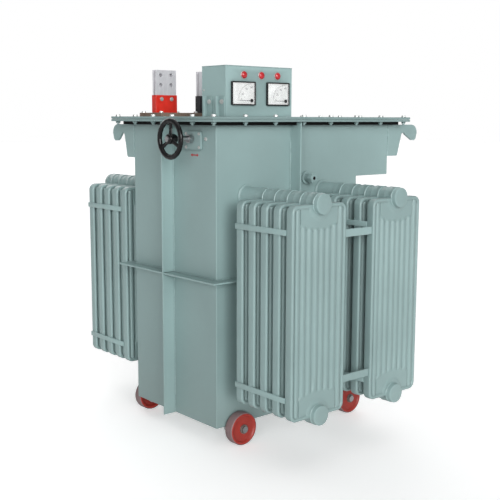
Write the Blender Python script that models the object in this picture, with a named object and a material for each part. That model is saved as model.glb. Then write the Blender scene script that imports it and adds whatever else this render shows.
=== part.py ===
"""Oil-cooled variable-voltage rectifier unit with a hand-driven variac in its tank.

Frame: metres, +Z up, origin under the middle of the whole unit, on the floor.
x runs along the handwheel end of the tank, y runs from that end to the far one.
"""

from math import cos, hypot, pi, radians, sin

import bmesh
import bpy
from mathutils import Matrix, Vector

GAP = 0.0003  # clearance left between touching pieces
SIDES = 24  # facets of a round piece

# Tank
TANK_W = 0.580
TANK_D = 0.813
TANK_H = 1.255
WALL = 0.005
HEAD_D = 1.023  # depth of the wider head under the lid
HEAD_Z = 1.012  # height of its floor above the tank floor
AXLE_Z = 0.069
TANK_Z = 0.080  # tank floor above the ground
FRONT_Y = -0.5505  # the handwheel end of the tank
LEFT_X = -TANK_W / 2
RIGHT_X = TANK_W / 2
BACK_Y = FRONT_Y + TANK_D
HEAD_BACK_Y = FRONT_Y + HEAD_D
TOP_Z = TANK_Z + TANK_H

# Rim and lid
OVERHANG = 0.072
RIM_T = 0.0085
GASKET_T = 0.002
LID_T = 0.0095
BAR_H = 0.013
BAR_OUT = 0.034
LID_TOP = TOP_Z + RIM_T + GASKET_T + LID_T + 2 * GAP

# Stiffeners
BAND_Z = TANK_Z + 0.616
BAND_T = 0.007
BAND_OUT = 0.056
RIB_T = 0.007
RIB_OUT = 0.060
RIB_CLEAR = 0.0006
HOOK_REACH = (0.175, 0.212)

# Radiators
PANELS = 5
PANEL_GAP = 0.1245  # wall to the middle of the first panel
PITCH = 0.0712
PANEL_T = 0.038
PANEL_W = 0.285
PANEL_Z = (TANK_Z + 0.133, TANK_Z + 0.955)
PANEL_R = 0.030
HEADER_R = 0.040
CAP_OUT = 0.039
RADIATOR_Y = (FRONT_Y + 0.0150, FRONT_Y + 0.4530)
HEADER_Z = (PANEL_Z[0] + 0.008, PANEL_Z[1] + 0.001)
TIE_Z = (TANK_Z + 0.238, TANK_Z + 0.817)

# Running wheels
WHEEL_R = AXLE_Z
WHEEL_T = 0.046
WHEEL_X = RIGHT_X + 0.027
WHEEL_Y = {
    "right": (FRONT_Y + 0.107, FRONT_Y + 0.750),
    "left": (FRONT_Y + 0.082, FRONT_Y + 0.750),
}
AXLE_R = 0.010

# Handwheel
HAND_X = LEFT_X + 0.434
HAND_Z = TANK_Z + 1.187
HAND_Y = FRONT_Y - 0.116
HAND_R = 0.083
RIM_TUBE_R = 0.0095
SHAFT_R = 0.011

# Variac drive inside the tank
BRUSH_X = 0.0
BRUSH_Z = TANK_Z + 0.830
CHAIN_Y = FRONT_Y + 0.055
PINION_R = 0.022
SPROCKET_R = 0.088
SPROCKET_T = 0.008
COIL_Y = (FRONT_Y + 0.20, FRONT_Y + 0.38, FRONT_Y + 0.56)
COIL_R = (0.115, 0.200)
COIL_T = 0.080

# Control box
BOX_X = (RIGHT_X - 0.150, RIGHT_X + 0.001)
BOX_Y = (FRONT_Y + 0.048, FRONT_Y + 0.404)
BOX_H = 0.198
BOX_T = 0.003
CLEAT_X = (BOX_X[0] + 0.032, BOX_X[0] + 0.112)
CLEAT = (0.036, 0.020, 0.004, 0.080)  # leg on the box, leg towards the end, thickness, height
METER_Y = (FRONT_Y + 0.136, FRONT_Y + 0.322)
METER_SIZE = (0.124, 0.094)
METER_Z = LID_TOP + 0.092
METER_PIVOT = (0.041, -0.028)  # from the middle of the meter: along y, and up
LAMP_Y = (FRONT_Y + 0.141, FRONT_Y + 0.233, FRONT_Y + 0.321)
LAMP_Z = LID_TOP + 0.165
LAMP_R = 0.016

# Terminals: name and the near edge of their plates, which stand in one row along the lid
TERMINALS = (("red", FRONT_Y + 0.052), ("black", FRONT_Y + 0.290))
TERMINAL_X = -0.206
TERMINAL_W = 0.108
TERMINAL_H = 0.200
PLATE_T = 0.008
PLATE_OFF = 0.0085
BOARD_X = (-0.290, -0.122)
BOARD_Y = (FRONT_Y + 0.030, FRONT_Y + 0.420)

PAINT = (0.279, 0.402, 0.397)
FINISHES = {
    "paint": (PAINT, 0.42, 0.0),
    "black": ((0.012, 0.012, 0.013), 0.30, 0.0),
    "rubber": ((0.015, 0.015, 0.016), 0.80, 0.0),
    "steel": ((0.46, 0.46, 0.48), 0.32, 1.0),
    "red": ((0.36, 0.042, 0.022), 0.45, 0.0),
    "red_sleeve": ((0.55, 0.024, 0.012), 0.40, 0.0),
    "black_sleeve": ((0.013, 0.012, 0.016), 0.45, 0.0),
    "bakelite": ((0.23, 0.16, 0.125), 0.55, 0.0),
    "copper": ((0.72, 0.32, 0.16), 0.35, 1.0),
    "iron": ((0.12, 0.12, 0.13), 0.55, 0.8),
    "glass": ((0.9, 0.93, 0.94), 0.05, 0.0),
    "lamp": ((0.42, 0.018, 0.022), 0.20, 0.0),
}


def clear_scene():
    for obj in list(bpy.data.objects):
        bpy.data.objects.remove(obj, do_unlink=True)


def material(name):
    made = bpy.data.materials.get(name)
    if made:
        return made
    colour, roughness, metallic = FINISHES[name]
    made = bpy.data.materials.new(name)
    made.use_nodes = True
    shader = made.node_tree.nodes["Principled BSDF"]
    shader.inputs["Base Color"].default_value = (*colour, 1.0)
    shader.inputs["Roughness"].default_value = roughness
    shader.inputs["Metallic"].default_value = metallic
    return made


def add_object(name, mesh_data, finish, origin=(0, 0, 0), smooth=False):
    """Turns a bmesh in world coordinates into an object whose origin is at the given point."""
    bmesh.ops.translate(mesh_data, verts=mesh_data.verts, vec=-Vector(origin))
    bmesh.ops.recalc_face_normals(mesh_data, faces=mesh_data.faces)
    mesh = bpy.data.meshes.new(name)
    mesh_data.to_mesh(mesh)
    mesh_data.free()
    if smooth:
        mesh.shade_smooth()
        mesh.set_sharp_from_angle(angle=radians(35))
    mesh.materials.append(material(finish))
    obj = bpy.data.objects.new(name, mesh)
    obj.location = origin
    bpy.context.collection.objects.link(obj)
    return obj


def add_box(mesh_data, low, high):
    """A box between two corners."""
    size = Vector(high) - Vector(low)
    middle = (Vector(high) + Vector(low)) / 2
    matrix = Matrix.Translation(middle) @ Matrix.Diagonal((*size, 1.0))
    bmesh.ops.create_cube(mesh_data, size=1.0, matrix=matrix)


def add_prism(mesh_data, outline, axis, start, end):
    """An outline of (a, b) points extruded along x, y or z; a and b are the other two axes in order."""
    def place(a, b, t):
        return {"x": (t, a, b), "y": (a, t, b), "z": (a, b, t)}[axis]

    face = mesh_data.faces.new([mesh_data.verts.new(place(a, b, start)) for a, b in outline])
    made = bmesh.ops.extrude_face_region(mesh_data, geom=[face])
    moved = [item for item in made["geom"] if isinstance(item, bmesh.types.BMVert)]
    bmesh.ops.translate(mesh_data, verts=moved, vec=Vector(place(0, 0, end - start)))


def circle(centre, radius, sides=SIDES, start=0.0, turn=2 * pi):
    """Points round an arc; a full circle leaves out the repeated last point."""
    count = sides if turn == 2 * pi else sides + 1
    angles = [start + turn * i / sides for i in range(count)]
    return [(centre[0] + radius * cos(a), centre[1] + radius * sin(a)) for a in angles]


def rounded_rectangle(low, high, radius, steps=4):
    corners = (
        (high[0] - radius, high[1] - radius, 0),
        (low[0] + radius, high[1] - radius, pi / 2),
        (low[0] + radius, low[1] + radius, pi),
        (high[0] - radius, low[1] + radius, 3 * pi / 2),
    )
    points = []
    for a, b, start in corners:
        points += circle((a, b), radius, steps, start, pi / 2)
    return points


def combine(target, tools, operation):
    """Joins or cuts target with temporary pieces, and keeps only the result."""
    for tool in tools:
        modifier = target.modifiers.new(operation.title(), "BOOLEAN")
        modifier.operation = operation
        modifier.solver = "EXACT"
        modifier.object = tool
    bpy.context.view_layer.update()
    graph = bpy.context.evaluated_depsgraph_get()
    result = bpy.data.meshes.new_from_object(target.evaluated_get(graph))
    target.modifiers.clear()
    target.data = result
    for tool in tools:
        bpy.data.objects.remove(tool, do_unlink=True)
    return target


def tool_prism(outline, axis, start, end):
    shape = bmesh.new()
    add_prism(shape, outline, axis, start, end)
    return add_object("tool", shape, "paint")


def tool_box(low, high):
    shape = bmesh.new()
    add_box(shape, low, high)
    return add_object("tool", shape, "paint")


def prism(name, finish, outline, axis, start, end, origin=(0, 0, 0), smooth=False):
    shape = bmesh.new()
    add_prism(shape, outline, axis, start, end)
    return add_object(name, shape, finish, origin, smooth)


def box(name, finish, low, high, origin=(0, 0, 0)):
    shape = bmesh.new()
    add_box(shape, low, high)
    return add_object(name, shape, finish, origin)


def frame_ring(name, finish, inner, outer, back_y, bottom, top):
    """A flat rectangular ring round the tank, given by its offsets from the walls."""
    ring = box(
        name, finish,
        (LEFT_X - outer, FRONT_Y - outer, bottom),
        (RIGHT_X + outer, back_y + outer, top),
    )
    hole = tool_box(
        (LEFT_X - inner, FRONT_Y - inner, bottom - 0.01),
        (RIGHT_X + inner, back_y + inner, top + 0.01),
    )
    return combine(ring, [hole], "DIFFERENCE")


def build_tank():
    def side_profile(inset, top):
        return [
            (FRONT_Y + inset, TANK_Z + inset),
            (BACK_Y - inset, TANK_Z + inset),
            (BACK_Y - inset, TANK_Z + HEAD_Z + inset),
            (HEAD_BACK_Y - inset, TANK_Z + HEAD_Z + inset),
            (HEAD_BACK_Y - inset, top),
            (FRONT_Y + inset, top),
        ]

    shell = prism("tank_shell", "paint", side_profile(0, TOP_Z), "x", LEFT_X, RIGHT_X)
    cavity = tool_prism(side_profile(WALL, TOP_Z + 0.02), "x", LEFT_X + WALL, RIGHT_X - WALL)
    shaft_hole = tool_prism(
        circle((HAND_X, HAND_Z), SHAFT_R + 0.002), "y", FRONT_Y - 0.01, FRONT_Y + 0.01
    )
    combine(shell, [cavity, shaft_hole], "DIFFERENCE")
    frame_ring("mid_stiffener", "paint", GAP, BAND_OUT, BACK_Y, BAND_Z, BAND_Z + BAND_T)


def build_rim_and_lid():
    bar_top = TOP_Z - GAP
    frame_ring("rim_bar", "black", GAP, BAR_OUT, HEAD_BACK_Y, bar_top - BAR_H, bar_top)
    rim_low = TOP_Z
    rim_high = rim_low + RIM_T
    frame_ring("tank_rim", "paint", GAP, OVERHANG, HEAD_BACK_Y, rim_low, rim_high)
    gasket_low = rim_high + GAP
    gasket_high = gasket_low + GASKET_T
    frame_ring(
        "rim_gasket", "rubber", GAP, OVERHANG - 0.003, HEAD_BACK_Y, gasket_low, gasket_high
    )
    box(
        "lid", "paint",
        (LEFT_X - OVERHANG, FRONT_Y - OVERHANG, gasket_high + GAP),
        (RIGHT_X + OVERHANG, HEAD_BACK_Y + OVERHANG, LID_TOP),
    )


def rib_profile(sign, wall):
    """A rib's outline: (distance axis, z), notched for the mid stiffener and the rim bar."""
    base = wall + sign * GAP
    tip = wall + sign * RIB_OUT
    band = wall + sign * (BAND_OUT + RIB_CLEAR)
    bar = wall + sign * (BAR_OUT + RIB_CLEAR)
    low = BAND_Z - RIB_CLEAR
    high = BAND_Z + BAND_T + RIB_CLEAR
    under_bar = TOP_Z - BAR_H - 2 * RIB_CLEAR
    return [
        (base, TANK_Z), (tip, TANK_Z), (tip, TOP_Z - GAP), (bar, TOP_Z - GAP),
        (bar, under_bar), (base, under_bar), (base, high), (band, high),
        (band, low), (base, low),
    ]


def build_ribs():
    half = RIB_T / 2
    middle_y = FRONT_Y + TANK_D / 2
    prism("front_rib", "paint", rib_profile(-1, FRONT_Y), "x", -half, half)
    for name, sign, wall in (("right_rib", 1, RIGHT_X), ("left_rib", -1, LEFT_X)):
        prism(name, "paint", rib_profile(sign, wall), "y", middle_y - half, middle_y + half)


def hook_outline(reach, sign, wall):
    """A lifting hook: a tapered shank on the wall, an arm under the rim and a down-turned tip."""
    top = TOP_Z - BAR_H - 2 * GAP
    nose_r = 0.038
    throat = (0.53 * reach, top - 0.052)
    throat_r = 0.015
    points = [(GAP, top)]
    points += circle((reach - nose_r, top - nose_r), nose_r, 6, pi / 2, -pi / 2)
    points += [(reach - 0.008, top - 0.066), (reach - 0.018, top - 0.074)]
    points += [(reach - 0.038, top - 0.073), (reach - 0.050, top - 0.066)]
    points += circle(throat, throat_r, 6, radians(25), radians(150))
    points += [(0.34 * reach, top - 0.140), (0.32 * reach, top - 0.145), (GAP, top - 0.145)]
    return [(wall + sign * a, b) for a, b in points]


def build_hooks():
    thick = 0.012
    left = hook_outline(HOOK_REACH[0], -1, LEFT_X)
    right = hook_outline(HOOK_REACH[1], 1, HEAD_BACK_Y)
    prism("hook_left", "paint", left, "y", FRONT_Y, FRONT_Y + thick)
    prism("hook_right", "paint", right, "x", RIGHT_X - thick, RIGHT_X)


def build_radiator(name, side, near_y):
    """Five flat panels on two header pipes; side is 1 on the right and -1 on the left."""
    wall = RIGHT_X if side > 0 else LEFT_X
    last = wall + side * (PANEL_GAP + (PANELS - 1) * PITCH)
    outline = rounded_rectangle(
        (near_y, PANEL_Z[0]), (near_y + PANEL_W, PANEL_Z[1]), PANEL_R, 3
    )
    tools = []
    for i in range(1, PANELS):
        at = wall + side * (PANEL_GAP + i * PITCH)
        tools.append(tool_prism(outline, "x", at - PANEL_T / 2, at + PANEL_T / 2))
    for z in HEADER_Z:
        around = circle((near_y + PANEL_W / 2, z), HEADER_R, 20)
        ends = sorted((wall + side * GAP, last + side * CAP_OUT))
        tools.append(tool_prism(around, "x", *ends))
    first = wall + side * PANEL_GAP
    panel = prism(
        name, "paint", outline, "x", first - PANEL_T / 2, first + PANEL_T / 2
    )
    return combine(panel, tools, "UNION")


def build_radiators():
    for side, place in ((1, "right"), (-1, "left")):
        for near_y, end in zip(RADIATOR_Y, ("front", "back")):
            build_radiator(f"radiator_{place}_{end}", side, near_y)
    outer = RIGHT_X + PANEL_GAP + (PANELS - 1) * PITCH
    for z, place in zip(TIE_Z, ("lower", "upper")):
        box(
            f"tie_bar_{place}", "paint",
            (outer + 0.003, RADIATOR_Y[0] + PANEL_W + GAP, z),
            (outer + 0.011, RADIATOR_Y[1] - GAP, z + 0.030),
        )


def build_wheel(name, side, y):
    """A flanged cast wheel with a recessed web, turned about its axle."""
    inner = WHEEL_X - WHEEL_T / 2
    profile = [
        (AXLE_R + 0.001, inner - 0.002), (0.022, inner - 0.002), (0.026, inner + 0.014),
        (0.050, inner + 0.014), (0.055, inner), (WHEEL_R - 0.003, inner),
        (WHEEL_R, inner + 0.003), (WHEEL_R, inner + WHEEL_T - 0.003),
        (WHEEL_R - 0.003, inner + WHEEL_T), (0.055, inner + WHEEL_T),
        (0.051, inner + WHEEL_T - 0.007), (0.024, inner + WHEEL_T - 0.007),
        (0.020, inner + WHEEL_T + 0.003), (AXLE_R + 0.001, inner + WHEEL_T + 0.003),
    ]
    shape = bmesh.new()
    rings = []
    for i in range(SIDES):
        a = 2 * pi * i / SIDES
        rings.append([
            shape.verts.new((side * x, y + r * sin(a), AXLE_Z - r * cos(a))) for r, x in profile
        ])
    for i in range(SIDES):
        here, after = rings[i], rings[(i + 1) % SIDES]
        for j in range(len(profile)):
            k = (j + 1) % len(profile)
            shape.faces.new((here[j], after[j], after[k], here[k]))
    return add_object(name, shape, "red", (side * WHEEL_X, y, AXLE_Z), smooth=True)


def build_axle(name, side, y):
    """A stub axle on a plate under the tank floor, with a head that keeps the wheel on."""
    plate_in = side * (RIGHT_X - 0.040)
    outer = side * (WHEEL_X + WHEEL_T / 2 + 0.004)
    ends = sorted((plate_in, outer))
    pin = prism(name, "steel", circle((y, AXLE_Z), AXLE_R), "x", *ends, smooth=True)
    plate_x = sorted((plate_in, side * (RIGHT_X - 0.020)))
    plate = tool_box(
        (plate_x[0], y - 0.035, AXLE_Z - 0.018), (plate_x[1], y + 0.035, TANK_Z - GAP)
    )
    head_x = sorted((outer - side * 0.0005, outer + side * 0.004))
    head = tool_prism(circle((y, AXLE_Z), 0.0135), "x", *head_x)
    return combine(pin, [plate, head], "UNION")


def build_running_gear():
    for side, place in ((1, "right"), (-1, "left")):
        for y, end in zip(WHEEL_Y[place], ("front", "back")):
            build_wheel(f"wheel_{place}_{end}", side, y)
            build_axle(f"axle_{place}_{end}", side, y)


def build_handwheel():
    """A three-spoked wheel: a torus, three round spokes and a bored hub."""
    centre = Vector((HAND_X, HAND_Y, HAND_Z))
    shape = bmesh.new()
    ring = HAND_R - RIM_TUBE_R
    steps, tube = 32, 10
    loops = []
    for i in range(steps):
        a = 2 * pi * i / steps
        loop = []
        for j in range(tube):
            b = 2 * pi * j / tube
            r = ring + RIM_TUBE_R * cos(b)
            loop.append(shape.verts.new(
                centre + Vector((r * cos(a), RIM_TUBE_R * sin(b), r * sin(a)))
            ))
        loops.append(loop)
    for i in range(steps):
        for j in range(tube):
            k = (j + 1) % tube
            after = loops[(i + 1) % steps]
            shape.faces.new((loops[i][j], loops[i][k], after[k], after[j]))
    wheel = add_object("handwheel", shape, "black")
    tools = [tool_prism(circle((HAND_X, HAND_Z), 0.021), "y", HAND_Y - 0.012, HAND_Y + 0.028)]
    for i in range(3):
        a = pi / 2 + 2 * pi * i / 3
        spoke = bmesh.new()
        turn = Matrix.Translation(centre) @ Matrix.Rotation(-a, 4, "Y")
        bmesh.ops.create_cube(
            spoke, size=1.0,
            matrix=turn @ Matrix.Translation((ring / 2 + 0.004, 0, 0))
            @ Matrix.Diagonal((ring - 0.004, 0.008, 0.013, 1.0)),
        )
        tools.append(add_object("tool", spoke, "black"))
    combine(wheel, tools, "UNION")
    bore = tool_prism(
        circle((HAND_X, HAND_Z), SHAFT_R + GAP), "y", HAND_Y - 0.02, HAND_Y + 0.04
    )
    combine(wheel, [bore], "DIFFERENCE")
    wheel.data.shade_smooth()
    wheel.data.set_sharp_from_angle(angle=radians(35))
    wheel.data.transform(Matrix.Translation(-centre))
    wheel.location = centre


def build_shaft_parts():
    at = (HAND_X, HAND_Z)
    origin = (HAND_X, HAND_Y, HAND_Z)
    prism(
        "handwheel_shaft", "steel", circle(at, SHAFT_R), "y",
        HAND_Y - 0.018, CHAIN_Y + 0.030, origin, smooth=True,
    )
    plate = prism(
        "gland_plate", "paint",
        rounded_rectangle((at[0] - 0.046, at[1] - 0.044), (at[0] + 0.060, at[1] + 0.030), 0.010),
        "y", FRONT_Y - 0.010, FRONT_Y - GAP,
    )
    hole = tool_prism(circle(at, SHAFT_R + 0.001), "y", FRONT_Y - 0.03, FRONT_Y + 0.01)
    combine(plate, [hole], "DIFFERENCE")
    nut = prism(
        "gland_nut", "steel", circle(at, 0.019, 6), "y", FRONT_Y - 0.030, FRONT_Y - 0.0103
    )
    bore = tool_prism(circle(at, SHAFT_R + 0.001), "y", FRONT_Y - 0.04, FRONT_Y)
    combine(nut, [bore], "DIFFERENCE")


def toothed(centre, radius, teeth, depth):
    """A sprocket's outline: one point on and one point below the pitch circle for each tooth."""
    points = []
    for i in range(2 * teeth):
        r = radius if i % 2 else radius - depth
        a = pi * i / teeth
        points.append((centre[0] + r * cos(a), centre[1] + r * sin(a)))
    return points


def chain_outline(grow):
    """The loop of a chain that wraps both sprockets: its straight runs are common tangents."""
    small = (HAND_X, HAND_Z)
    large = (BRUSH_X, BRUSH_Z)
    across = Vector((large[0] - small[0], large[1] - small[1]))
    distance = hypot(*across)
    heading = across.angle_signed(Vector((1, 0)))
    lean = (pi / 2) + ((SPROCKET_R - PINION_R) / distance)
    steps = 16
    points = circle(small, PINION_R + grow, steps, heading + lean, 2 * (pi - lean))
    points += circle(large, SPROCKET_R + grow, steps, heading - lean, 2 * lean)
    return points


def build_drive():
    hand = (HAND_X, HAND_Z)
    brush = (BRUSH_X, BRUSH_Z)
    low, high = CHAIN_Y - SPROCKET_T / 2, CHAIN_Y + SPROCKET_T / 2
    pinion = prism(
        "drive_sprocket", "steel", toothed(hand, PINION_R - 0.001, 10, 0.004), "y",
        low, high, (HAND_X, CHAIN_Y, HAND_Z),
    )
    bore = tool_prism(circle(hand, SHAFT_R + GAP), "y", low - 0.01, high + 0.01)
    combine(pinion, [bore], "DIFFERENCE")
    wheel = prism(
        "driven_sprocket", "steel", toothed(brush, SPROCKET_R - 0.001, 40, 0.004), "y",
        low, high, (BRUSH_X, CHAIN_Y, BRUSH_Z),
    )
    bore = tool_prism(circle(brush, 0.0153), "y", low - 0.01, high + 0.01)
    combine(wheel, [bore], "DIFFERENCE")
    chain = prism("drive_chain", "steel", chain_outline(0.006), "y", low, high)
    inside = tool_prism(chain_outline(0.0005), "y", low - 0.01, high + 0.01)
    combine(chain, [inside], "DIFFERENCE")
    prism(
        "brush_shaft", "steel", circle(brush, 0.015), "y",
        CHAIN_Y - 0.020, COIL_Y[2] + 0.075, (BRUSH_X, CHAIN_Y, BRUSH_Z), smooth=True,
    )


def build_variac():
    brush = (BRUSH_X, BRUSH_Z)
    for number, y in enumerate(COIL_Y, 1):
        coil = prism(
            f"variac_coil_{number}", "copper", circle(brush, COIL_R[1], 32), "y",
            y - COIL_T / 2, y + COIL_T / 2, smooth=True,
        )
        hollow = tool_prism(
            circle(brush, COIL_R[0], 32), "y", y - COIL_T, y + COIL_T
        )
        combine(coil, [hollow], "DIFFERENCE")
        near = y - COIL_T / 2 - 0.022
        arm = prism(
            f"brush_arm_{number}", "bakelite", circle(brush, 0.030, 16), "y",
            near, near + 0.014, (BRUSH_X, near, BRUSH_Z),
        )
        reach = tool_box(
            (BRUSH_X - 0.012, near + 0.001, BRUSH_Z - 0.170),
            (BRUSH_X + 0.012, near + 0.013, BRUSH_Z - 0.010),
        )
        brush_tip = tool_box(
            (BRUSH_X - 0.009, near + 0.010, BRUSH_Z - 0.168),
            (BRUSH_X + 0.009, near + 0.021, BRUSH_Z - 0.148),
        )
        combine(arm, [reach, brush_tip], "UNION")
        bore = tool_prism(circle(brush, 0.0153), "y", near - 0.01, near + 0.03)
        combine(arm, [bore], "DIFFERENCE")


def build_transformer():
    """The step-down transformer on the tank floor: a core with two windows and its winding."""
    low = TANK_Z + WALL + GAP
    high = low + 0.480
    near_y, far_y = FRONT_Y + 0.28, FRONT_Y + 0.44
    core = box("transformer_core", "iron", (-0.235, near_y, low), (0.235, far_y, high))
    windows = [
        tool_box((x - 0.075, near_y - 0.01, low + 0.08), (x + 0.075, far_y + 0.01, high - 0.08))
        for x in (-0.115, 0.115)
    ]
    combine(core, windows, "DIFFERENCE")
    centre = (0.0, (near_y + far_y) / 2)
    reach = (0.100, (far_y - near_y) / 2 + 0.060)
    winding = prism(
        "transformer_winding", "copper",
        rounded_rectangle(
            (centre[0] - reach[0], centre[1] - reach[1]),
            (centre[0] + reach[0], centre[1] + reach[1]), 0.040,
        ),
        "z", low + 0.090, high - 0.090,
    )
    limb = tool_box(
        (-0.042, near_y - 0.002, low + 0.05), (0.042, far_y + 0.002, high - 0.05)
    )
    combine(winding, [limb], "DIFFERENCE")


def build_control_box():
    base = LID_TOP + GAP
    top = LID_TOP + BOX_H
    case = box(
        "control_box", "paint", (BOX_X[0], BOX_Y[0], base), (BOX_X[1], BOX_Y[1], top - GAP)
    )
    cuts = [tool_box(
        (BOX_X[0] + BOX_T, BOX_Y[0] + BOX_T, base + BOX_T),
        (BOX_X[1] - BOX_T, BOX_Y[1] - BOX_T, top + 0.01),
    )]
    for y in METER_Y:
        hole = circle((y, METER_Z), 0.032)
        cuts.append(tool_prism(hole, "x", BOX_X[1] - 0.02, BOX_X[1] + 0.01))
    for y in LAMP_Y:
        hole = circle((y, LAMP_Z), 0.0085, 16)
        cuts.append(tool_prism(hole, "x", BOX_X[1] - 0.02, BOX_X[1] + 0.01))
    combine(case, cuts, "DIFFERENCE")
    box(
        "control_box_cover", "paint",
        (BOX_X[0] - 0.001, BOX_Y[0] - 0.001, top), (BOX_X[1] + 0.001, BOX_Y[1] + 0.001, top + 0.003),
    )
    back = BOX_Y[0] - GAP
    long_leg, short_leg, thick, height = CLEAT
    for number, x in enumerate(CLEAT_X, 1):
        angle = [
            (x, back), (x + long_leg, back), (x + long_leg, back - thick),
            (x + thick, back - thick), (x + thick, back - short_leg), (x, back - short_leg),
        ]
        prism(f"box_cleat_{number}", "paint", angle, "z", base, base + height)


def build_meter(number, y):
    """A moulded case on the box wall with a pointer under its window."""
    face = BOX_X[1] + GAP
    half_w, half_h = METER_SIZE[0] / 2, METER_SIZE[1] / 2
    case = prism(
        f"meter_case_{number}", "black",
        rounded_rectangle((y - half_w, METER_Z - half_h), (y + half_w, METER_Z + half_h), 0.004, 2),
        "x", face, face + 0.010,
    )
    barrel = tool_prism(circle((y, METER_Z), 0.030), "x", face - 0.040, face + 0.002)
    combine(case, [barrel], "UNION")
    well = tool_box(
        (face + 0.003, y - half_w + 0.0045, METER_Z - half_h + 0.0045),
        (face + 0.03, y + half_w - 0.0045, METER_Z + half_h - 0.0045),
    )
    combine(case, [well], "DIFFERENCE")
    box(
        f"meter_glass_{number}", "glass",
        (face + 0.0078, y - half_w + 0.0050, METER_Z - half_h + 0.0050),
        (face + 0.0095, y + half_w - 0.0050, METER_Z + half_h - 0.0050),
    )
    pivot = (face + 0.0055, y + METER_PIVOT[0], METER_Z + METER_PIVOT[1])
    pointer = prism(
        f"meter_pointer_{number}", "black", circle(pivot[1:], 0.006, 12), "x",
        pivot[0] - 0.0015, pivot[0] + 0.0015, pivot,
    )
    needle = tool_prism(
        [(pivot[1] - 0.064, pivot[2] - 0.0006), (pivot[1], pivot[2] - 0.0015),
         (pivot[1], pivot[2] + 0.0015), (pivot[1] - 0.064, pivot[2] + 0.0006)],
        "x", pivot[0] - 0.0005, pivot[0] + 0.0005,
    )
    combine(pointer, [needle], "UNION")


def build_lamps():
    face = BOX_X[1] + GAP
    for number, y in enumerate(LAMP_Y, 1):
        lamp = prism(
            f"lamp_{number}", "lamp", circle((y, LAMP_Z), LAMP_R, 16), "x", face, face + 0.012,
            smooth=True,
        )
        body = tool_prism(circle((y, LAMP_Z), 0.0080, 16), "x", face - 0.035, face + 0.001)
        combine(lamp, [body], "UNION")


def build_terminals():
    """Two flag busbars on one bakelite board, each a pair of plates joined above the board."""
    base = LID_TOP + GAP
    x = TERMINAL_X
    board = box(
        "terminal_board", "bakelite",
        (BOARD_X[0], BOARD_Y[0], base), (BOARD_X[1], BOARD_Y[1], base + 0.016),
    )
    half = PLATE_T / 2
    slots = [
        tool_box(
            (x + side * PLATE_OFF - half - 0.001, low_y - 0.001, base + 0.004),
            (x + side * PLATE_OFF + half + 0.001, low_y + TERMINAL_W + 0.001, base + 0.03),
        )
        for _, low_y in TERMINALS for side in (-1, 1)
    ]
    combine(board, slots, "DIFFERENCE")
    for name, low_y in TERMINALS:
        high_y = low_y + TERMINAL_W
        bars = [
            tool_box(
                (x + side * PLATE_OFF - half, low_y, base + 0.005),
                (x + side * PLATE_OFF + half, high_y, LID_TOP + TERMINAL_H),
            )
            for side in (-1, 1)
        ]
        link = box(
            f"busbar_{name}", "steel",
            (x - PLATE_OFF, low_y + 0.001, base + 0.030), (x + PLATE_OFF, high_y - 0.001, base + 0.050),
        )
        combine(link, bars, "UNION")
        holes = [
            tool_prism(circle((y, LID_TOP + TERMINAL_H - drop), 0.0085, 16), "x", x - 0.03, x + 0.03)
            for y in (low_y + 0.027, high_y - 0.027) for drop in (0.022, 0.064)
        ]
        combine(link, holes, "DIFFERENCE")
        reach = PLATE_OFF + half + GAP
        sleeve = box(
            f"sleeve_{name}", f"{name}_sleeve",
            (x - reach - 0.003, low_y - 0.003, base + 0.0165),
            (x + reach + 0.003, high_y + 0.003, base + 0.092),
        )
        core = tool_box(
            (x - reach, low_y - GAP, base), (x + reach, high_y + GAP, base + 0.12)
        )
        combine(sleeve, [core], "DIFFERENCE")


def build_oil_stub():
    """The short filter-valve stub on the side wall, with its mounting collar and open end."""
    at = (FRONT_Y + TANK_D / 2 + 0.085, TANK_Z + 1.017)
    base = RIGHT_X + GAP
    stub = prism("oil_stub", "paint", circle(at, 0.016), "x", base, base + 0.055, smooth=True)
    collar = tool_prism(circle(at, 0.027), "x", base, base + 0.010)
    lip = tool_prism(circle(at, 0.023, 6), "x", base + 0.034, base + 0.054)
    combine(stub, [collar, lip], "UNION")
    bore = tool_prism(circle(at, 0.008, 16), "x", base + 0.020, base + 0.08)
    combine(stub, [bore], "DIFFERENCE")


def main():
    clear_scene()
    build_tank()
    build_rim_and_lid()
    build_ribs()
    build_hooks()
    build_radiators()
    build_running_gear()
    build_handwheel()
    build_shaft_parts()
    build_drive()
    build_variac()
    build_transformer()
    build_control_box()
    for number, y in enumerate(METER_Y, 1):
        build_meter(number, y)
    build_lamps()
    build_terminals()
    build_oil_stub()


main()
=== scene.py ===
"""Looks of the oil-cooled rectifier unit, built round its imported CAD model."""

from math import cos, hypot, pi, radians, sin, sqrt

import bmesh
import bpy
from mathutils import Matrix, Vector, noise


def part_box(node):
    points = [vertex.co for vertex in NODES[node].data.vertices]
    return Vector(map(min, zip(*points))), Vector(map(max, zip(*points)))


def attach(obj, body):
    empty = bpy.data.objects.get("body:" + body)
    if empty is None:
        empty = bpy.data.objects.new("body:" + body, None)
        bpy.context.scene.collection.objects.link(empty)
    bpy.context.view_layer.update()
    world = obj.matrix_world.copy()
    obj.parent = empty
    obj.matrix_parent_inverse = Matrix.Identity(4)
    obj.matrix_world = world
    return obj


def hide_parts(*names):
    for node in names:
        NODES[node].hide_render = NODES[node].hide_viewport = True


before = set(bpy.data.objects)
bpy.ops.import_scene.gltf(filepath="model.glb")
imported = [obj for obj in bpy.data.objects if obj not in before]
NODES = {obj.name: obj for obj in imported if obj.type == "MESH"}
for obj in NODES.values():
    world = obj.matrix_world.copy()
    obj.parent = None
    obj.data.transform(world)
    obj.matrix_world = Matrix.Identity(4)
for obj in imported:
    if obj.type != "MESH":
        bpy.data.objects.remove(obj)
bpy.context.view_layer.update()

# Camera, from the fit of the object's edges
CAMERA_AT = (3.0482, -2.7393, 1.3508)
CAMERA_YAW = 0.8616
CAMERA_PITCH = 0.1475
CAMERA_ROLL = 0.0032
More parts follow.
